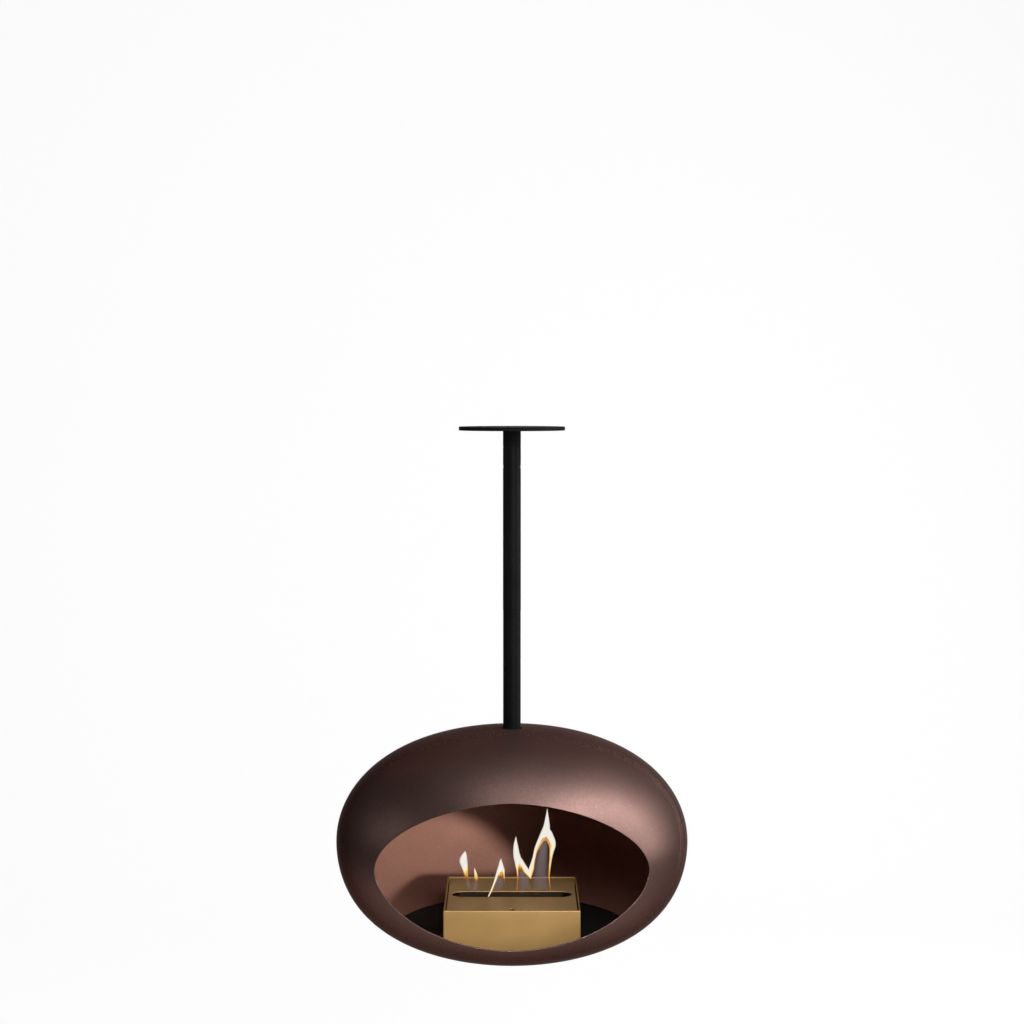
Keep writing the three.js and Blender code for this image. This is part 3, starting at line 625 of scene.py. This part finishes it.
# Tongues from one end to the other: across the burner, above its cover, half width, heat, opacity.
# Heat runs from a grey veil (0) over dark red, orange and yellow to ivory (1).
TONGUES = {
    "flame_1": [
        (-97.4, 89.5, 0.3, 1.0, 0.9), (-98.8, 83, 4.4, 1.0, 1.0), (-100.5, 76, 7.4, 1.0, 1.0),
        (-101.2, 69, 8.8, 1.0, 1.0), (-99.2, 60, 7.4, 0.95, 1.0), (-97.4, 52, 5.8, 0.8, 1.0),
        (-96.0, 44, 4.6, 0.6, 0.95), (-94.6, 37, 3.4, 0.4, 0.8), (-92.4, 30, 2.4, 0.2, 0.4),
        (-89.6, 21, 1.9, 0.0, 0.25), (-86.5, 12, 1.4, 0.0, 0.1)],
    "flame_2": [
        (-78.2, 55.2, 0.3, 0.8, 0.7), (-77.2, 49, 1.8, 0.85, 0.8), (-75.6, 41, 3.2, 0.8, 0.85),
        (-74.6, 34, 3.6, 0.62, 0.7), (-74.2, 28, 3.4, 0.3, 0.45), (-74.8, 21, 3.2, 0.1, 0.3),
        (-77.0, 12, 2.6, 0.0, 0.3), (-79.6, 4, 1.6, 0.0, 0.2)],
    "flame_3": [
        (-22.6, 74.4, 0.3, 1.0, 0.9), (-23.3, 68, 2.7, 1.0, 1.0), (-22.9, 60.8, 5.0, 1.0, 1.0),
        (-23.8, 53, 6.6, 1.0, 1.0), (-27.0, 46, 5.4, 0.95, 1.0), (-30.3, 40, 3.7, 0.95, 1.0),
        (-33.4, 32, 2.8, 0.95, 1.0), (-37.0, 22, 2.2, 0.95, 1.0), (-41.0, 12, 1.9, 0.95, 0.95),
        (-45.0, 3, 1.7, 0.9, 0.85), (-49.0, -5, 1.4, 0.85, 0.7)],
    "flame_3_right": [
        (-20.4, 62, 1.5, 1.0, 0.9), (-18.8, 52, 3.4, 0.95, 1.0), (-17.8, 44, 2.8, 0.8, 1.0),
        (-16.8, 36, 2.0, 0.6, 0.8), (-16.6, 26, 1.5, 0.3, 0.5), (-17.5, 14, 1.0, 0.0, 0.2)],
    "flame_4": [
        (8.6, 120, 0.3, 1.0, 0.9), (8.2, 113, 2.0, 1.0, 1.0), (8.0, 104, 4.3, 1.0, 1.0),
        (8.4, 95, 5.8, 1.0, 1.0), (9.2, 86, 6.9, 1.0, 1.0), (11.0, 77, 7.8, 1.0, 1.0),
        (12.6, 69, 7.6, 1.0, 1.0), (12.0, 60, 5.0, 0.9, 1.0), (12.0, 50, 2.7, 0.75, 0.95),
        (12.5, 39, 1.9, 0.6, 0.8), (12.8, 27, 1.6, 0.45, 0.6), (11.5, 15, 1.3, 0.5, 0.45),
        (9.8, 4.8, 1.0, 0.5, 0.3)],
    "flame_4_right": [
        (14.0, 78, 3.0, 1.0, 1.0), (17.5, 70, 5.4, 1.0, 1.0), (22.0, 61.5, 6.0, 0.95, 1.0),
        (26.6, 54, 6.2, 0.95, 1.0), (31.5, 47, 6.0, 0.95, 1.0), (36.0, 39.5, 4.2, 0.85, 0.95),
        (39.3, 32, 1.0, 0.7, 0.8)],
    "flame_5": [
        (39.3, 32, 0.8, 0.7, 0.8), (39.8, 41, 3.4, 0.85, 0.95), (40.6, 51, 5.6, 0.95, 1.0),
        (43.0, 62, 4.7, 0.95, 1.0), (46.7, 76.7, 3.5, 0.95, 1.0), (50.6, 92.8, 4.0, 0.95, 1.0),
        (55.2, 104, 4.8, 0.95, 1.0), (61.0, 115, 6.2, 1.0, 1.0), (66.6, 125, 7.8, 1.0, 1.0),
        (70.6, 133, 8.4, 1.0, 1.0), (72.5, 141, 7.2, 1.0, 1.0), (73.3, 152, 5.1, 1.0, 1.0),
        (73.6, 161.6, 3.3, 1.0, 1.0), (73.8, 170, 1.6, 1.0, 1.0), (73.8, 178.3, 0.3, 1.0, 0.9)],
    "flame_5_right": [
        (73.0, 140, 3.0, 1.0, 1.0), (76.2, 129, 7.2, 1.0, 1.0), (80.4, 119, 7.6, 1.0, 1.0),
        (84.2, 109, 7.3, 0.96, 1.0), (85.0, 100, 6.2, 0.95, 1.0), (83.0, 90, 4.8, 0.9, 1.0),
        (81.2, 78, 3.6, 0.85, 0.95), (79.6, 64, 2.6, 0.8, 0.9), (78.2, 50, 2.1, 0.7, 0.85),
        (77.3, 36, 1.9, 0.6, 0.7), (78.5, 22, 1.4, 0.5, 0.5), (80.6, 9.6, 0.9, 0.5, 0.3)],
}
GLOWS = {  # the warm undersides of the arches, a little in front of the tongues
    "glow_3": [
        (-25.5, 45, 2.6, 0.75, 0.6), (-24.3, 42, 5.2, 0.55, 0.9), (-24.2, 38.5, 6.4, 0.35, 0.8),
        (-24.8, 34, 6.6, 0.15, 0.5), (-25.5, 29, 6.4, 0.0, 0.3)],
    "glow_4": [
        (17.6, 61, 1.6, 0.75, 0.6), (17.8, 58, 3.6, 0.5, 0.9), (18.0, 54, 4.6, 0.3, 0.7),
        (18.8, 49, 5.2, 0.1, 0.4), (20.0, 44, 5.6, 0.0, 0.3)],
    "glow_5": [
        (55.0, 92, 1.2, 0.5, 0.4), (58.5, 102, 2.0, 0.5, 0.8), (63.2, 112, 3.2, 0.5, 0.95),
        (69.0, 116.5, 4.2, 0.5, 0.95), (74.8, 113, 3.4, 0.5, 0.95), (78.2, 104, 2.2, 0.5, 0.8),
        (79.0, 94, 1.2, 0.5, 0.4)],
}
VEILS = {  # grey haze between the tongues, a little behind them
    "veil_1": [(-94.5, 34, 1.0, 0.0, 0.1), (-92.5, 24, 5.0, 0.0, 0.3), (-90.5, 8, 6.5, 0.0, 0.15)],
    "veil_2": [(-76.0, 28, 2.0, 0.0, 0.1), (-77.0, 18, 5.0, 0.0, 0.35), (-78.5, 5, 5.5, 0.0, 0.2)],
    "veil_3": [
        (-24.0, 40, 3.0, 0.0, 0.2), (-25.5, 32, 7.5, 0.0, 0.4), (-28.0, 22, 9.5, 0.0, 0.4),
        (-30.5, 8, 11.5, 0.0, 0.15)],
    "veil_4": [
        (18.0, 56, 2.0, 0.0, 0.2), (20.5, 46, 6.5, 0.0, 0.45), (23.5, 35, 10.0, 0.0, 0.45),
        (26.5, 22, 13.0, 0.0, 0.35), (28.0, 8, 14.5, 0.0, 0.15)],
    "veil_5": [
        (69.0, 116, 4.0, 0.0, 0.4), (66.5, 103, 9.6, 0.0, 0.55), (64.5, 88, 12.4, 0.0, 0.55),
        (62.5, 72, 14.2, 0.0, 0.5), (61.0, 56, 15.8, 0.0, 0.45), (60.0, 40, 17.0, 0.0, 0.4),
        (60.0, 24, 18.0, 0.0, 0.3), (60.0, 8, 18.5, 0.0, 0.15)],
}
WARM_SIDES = {  # the edge that faces an arch: 1 is the right one, -1 the left
    "flame_3": 1, "flame_3_right": -1, "flame_4": 1, "flame_4_right": -1, "flame_5": 1, "flame_5_right": -1,
}
SIDE_COOLING = 0.5
COOLING_ONSET = 20  # how fast the side cooling sets in below full heat
GLOW_OFFSET = -3.2
VEIL_OFFSET = 3.0


def flame_paint():
    """Glowing gas: its colour follows the painted heat, its opacity the painted veil."""
    finish = Finish("flame", Base_Color=(0.0, 0.0, 0.0, 1.0), Roughness=1.0, Specular_IOR_Level=0.0)
    heat = finish.node("ShaderNodeAttribute", attribute_name="flame_heat").outputs["Fac"]
    opacity = finish.node("ShaderNodeAttribute", attribute_name="flame_opacity").outputs["Fac"]
    flicker = finish.spread(finish.noise(160, 2, (1.0, 1.0, 0.35)), -0.08, 0.08)
    ramp = finish.node("ShaderNodeValToRGB")
    colours = [
        (0.0, (0.19, 0.14, 0.145)), (0.22, (0.20, 0.06, 0.025)), (0.45, (0.62, 0.20, 0.03)),
        (0.68, (0.92, 0.60, 0.18)), (0.86, (0.95, 0.85, 0.60)), (1.0, (0.86, 0.83, 0.78))]
    stops = ramp.color_ramp.elements
    stops.remove(stops[1])
    stops[0].color = (*colours[0][1], 1.0)
    for place, colour in colours[1:]:
        stops.new(place).color = (*colour, 1.0)
    warmth = finish.calculate("MULTIPLY", flicker, finish.calculate("GREATER_THAN", heat, 0.05))
    finish.link(finish.calculate("ADD", heat, warmth), ramp.inputs["Fac"])
    finish.link(ramp.outputs["Color"], finish.shader.inputs["Emission Color"])
    finish.shader.inputs["Emission Strength"].default_value = 1.0
    finish.link(opacity, finish.shader.inputs["Alpha"])
    return finish.material


def smooth_stations(stations):
    """The stations and soft steps between them, on a curve through them all."""
    ends = np.array([stations[0], *stations, stations[-1]], float)
    found = []
    for a, b, c, d in zip(ends, ends[1:], ends[2:], ends[3:]):
        for step in range(STEPS_BETWEEN):
            t = step / STEPS_BETWEEN
            bend = 2 * a - 5 * b + 4 * c - d + t * (3 * b - a - 3 * c + d)
            found.append(b + 0.5 * t * (c - a + t * bend))
    found.append(ends[-1])
    return np.array(found)


def build_tongue(name, stations, offset, warm_side, sharpness, paint):
    """A closed thin tongue of flame along its stations, cooler at its warm side and thin at its edges.

    warm_side is -1 for the left edge, 1 for the right one, 0 for neither.
    """
    line = smooth_stations(stations)
    slope = np.gradient(line[:, :2], axis=0)
    slope /= np.linalg.norm(slope, axis=1, keepdims=True)
    vertices, heats, opacities = [], [], []
    for (x, h, half, heat, opacity), (dx, dh) in zip(line, slope):
        half = max(half, 0.2)
        depth = min(FLATNESS * half, THICKEST)
        sway = 1.5 * math.sin(h / 17.0 + x / 23.0)
        edge_cooling = SIDE_COOLING * min(1.0, max(0.0, 1.0 - heat) * COOLING_ONSET)
        for i in range(SECTION_POINTS):
            angle = 2 * math.pi * i / SECTION_POINTS
            across = math.cos(angle)
            vertices.append((
                MM * (x + half * across * dh),
                MM * (BURNER_MIDDLE + offset + sway + depth * math.sin(angle)),
                MM * (COVER_TOP + h - half * across * dx)))
            cooling = edge_cooling * max(0.0, across * math.copysign(1, dh) * warm_side)
            heats.append(min(1.0, max(0.0, heat - cooling)))
            opacities.append(min(1.0, max(0.0, opacity)) * (1 - abs(across) ** sharpness))
    rows = len(line)
    faces = []
    for row in range(rows - 1):
        for i in range(SECTION_POINTS):
            j = (i + 1) % SECTION_POINTS
            low, high = row * SECTION_POINTS, (row + 1) * SECTION_POINTS
            faces.append([low + i, low + j, high + j, high + i])
    faces.append(list(range(SECTION_POINTS))[::-1])
    faces.append([(rows - 1) * SECTION_POINTS + i for i in range(SECTION_POINTS)])
    piece = add_piece(name, vertices, faces, "tank", None, paint=paint)
    piece.visible_shadow = False
    for label, values in (("flame_heat", heats), ("flame_opacity", opacities)):
        piece.data.attributes.new(label, "FLOAT", "POINT").data.foreach_set("value", values)


def build_flames():
    """The haze behind, the tongues, and the warm undersides in front."""
    paint = flame_paint()
    for name, stations in VEILS.items():
        build_tongue(name, stations, VEIL_OFFSET, 0, 2, paint)
    for name, stations in TONGUES.items():
        build_tongue(name, stations, 0.0, WARM_SIDES.get(name, 0), 6, paint)
    for name, stations in GLOWS.items():
        build_tongue(name, stations, GLOW_OFFSET, 0, 3, paint)


# ---------------------------------------------------------------- stage and light

FLOOR_LEVEL = -1.70
DAYLIGHT = 0.08  # the share of the paper that is lit by the lamps and takes the shadow
AIM = Vector((0.0, 0.0, WIDEST_LEVEL))


def stage_material(name):
    """White that glows to the eye and to metal; the rest, lit by the lamps, keeps a faint shadow."""
    material = bpy.data.materials.new(name)
    material.use_nodes = True
    nodes, links = material.node_tree.nodes, material.node_tree.links
    nodes.clear()
    output = nodes.new("ShaderNodeOutputMaterial")
    path = nodes.new("ShaderNodeLightPath")
    seen = nodes.new("ShaderNodeMath")
    seen.operation = "ADD"
    seen.use_clamp = True
    also = nodes.new("ShaderNodeMath")
    also.operation = "ADD"
    links.new(path.outputs["Is Glossy Ray"], also.inputs[0])
    links.new(path.outputs["Is Transmission Ray"], also.inputs[1])
    links.new(path.outputs["Is Camera Ray"], seen.inputs[0])
    links.new(also.outputs["Value"], seen.inputs[1])
    share = nodes.new("ShaderNodeMath")
    share.operation = "MULTIPLY"
    share.inputs[1].default_value = 1 - DAYLIGHT
    links.new(seen.outputs["Value"], share.inputs[0])
    paper = nodes.new("ShaderNodeBsdfDiffuse")
    paper.inputs["Color"].default_value = (0.9, 0.9, 0.9, 1.0)
    white = nodes.new("ShaderNodeEmission")
    white.inputs["Strength"].default_value = 1.0
    mix = nodes.new("ShaderNodeMixShader")
    links.new(share.outputs["Value"], mix.inputs["Fac"])
    links.new(paper.outputs["BSDF"], mix.inputs[1])
    links.new(white.outputs["Emission"], mix.inputs[2])
    links.new(mix.outputs["Shader"], output.inputs["Surface"])
    return material


def add_stage():
    """A pale floor that curves up into a backdrop behind the object."""
    half_width, front, back, top, bend = 2.3, -3.6, 3.2, 2.4, 0.8
    profile = [(front, FLOOR_LEVEL)]
    steps = 12
    for i in range(steps + 1):
        angle = math.pi / 2 * i / steps
        profile.append((back - bend + bend * math.sin(angle), FLOOR_LEVEL + bend - bend * math.cos(angle)))
    profile.append((back, top))
    vertices = [(side * half_width, y, z) for y, z in profile for side in (-1, 1)]
    faces = [[2 * i, 2 * i + 1, 2 * i + 3, 2 * i + 2] for i in range(len(profile) - 1)]
    mesh = bpy.data.meshes.new("floor")
    mesh.from_pydata(vertices, [], faces)
    mesh.shade_smooth()
    mesh.materials.append(stage_material("white paper"))
    floor = bpy.data.objects.new("floor", mesh)
    bpy.context.scene.collection.objects.link(floor)


def add_lamp(name, place, size, watts):
    """A soft square lamp aimed at the dome."""
    data = bpy.data.lights.new(name, "AREA")
    data.shape = "RECTANGLE"
    data.size, data.size_y = size
    data.energy = watts
    lamp = bpy.data.objects.new(name, data)
    lamp.location = place
    lamp.rotation_euler = (AIM - Vector(place)).to_track_quat("-Z", "Y").to_euler()
    bpy.context.scene.collection.objects.link(lamp)


def lamp_place(azimuth, elevation, distance):
    """A place seen from the dome at so many degrees right of the camera and above level."""
    turn, rise = math.radians(azimuth), math.radians(elevation)
    out = Vector((math.sin(turn) * math.cos(rise), -math.cos(turn) * math.cos(rise), math.sin(rise)))
    return AIM + distance * out


def add_snoot(name, place, target, watts, cone, radius, receiver):
    """A narrow soft beam aimed at one place, flagged off from all but one piece."""
    data = bpy.data.lights.new(name, "SPOT")
    data.energy = watts
    data.spot_size = math.radians(cone)
    data.spot_blend = 1.0
    data.shadow_soft_size = radius
    lamp = bpy.data.objects.new(name, data)
    lamp.location = place
    lamp.rotation_euler = (Vector(target) - Vector(place)).to_track_quat("-Z", "Y").to_euler()
    lit = bpy.data.collections.new(name)
    lit.objects.link(receiver)
    lamp.light_linking.receiver_collection = lit
    bpy.context.scene.collection.objects.link(lamp)


def add_light(dome):
    """Soft studio lamps round the front and right, and one beam that reaches the dome's inside."""
    add_lamp("key strip", lamp_place(89, 38, 3.0), (0.9, 2.2), 84)
    add_lamp("key top", lamp_place(56, 58, 3.0), (1.2, 1.2), 54)
    add_lamp("key side", lamp_place(92, 6, 2.6), (0.9, 0.9), 20)
    add_lamp("front right", lamp_place(29, 12, 3.0), (1.2, 1.3), 34)
    add_lamp("front high", lamp_place(9, 28, 3.2), (1.4, 0.7), 52)
    add_lamp("left fill", lamp_place(-85, 20, 3.0), (1.5, 1.5), 7)
    add_lamp("top", lamp_place(0, 85, 3.0), (1.3, 1.3), 16)
    add_snoot("into the dome", lamp_place(24, 10, 3.0), (-0.195, 0.28, -0.952), 8000, 5.4, 0.45, dome)
    world = bpy.data.worlds.new("dim room")
    world.use_nodes = True
    world.node_tree.nodes["Background"].inputs["Color"].default_value = (0.08, 0.08, 0.08, 1.0)
    bpy.context.scene.world = world
    bpy.context.scene.view_settings.view_transform = "Standard"


# ---------------------------------------------------------------- the whole

add_camera()
dress_frame(left_alone=["dome_shell", "burner_casing"])
build_seam_shade_ring()
build_casing()
dome = build_dome()
build_flames()
add_stage()
add_light(dome)
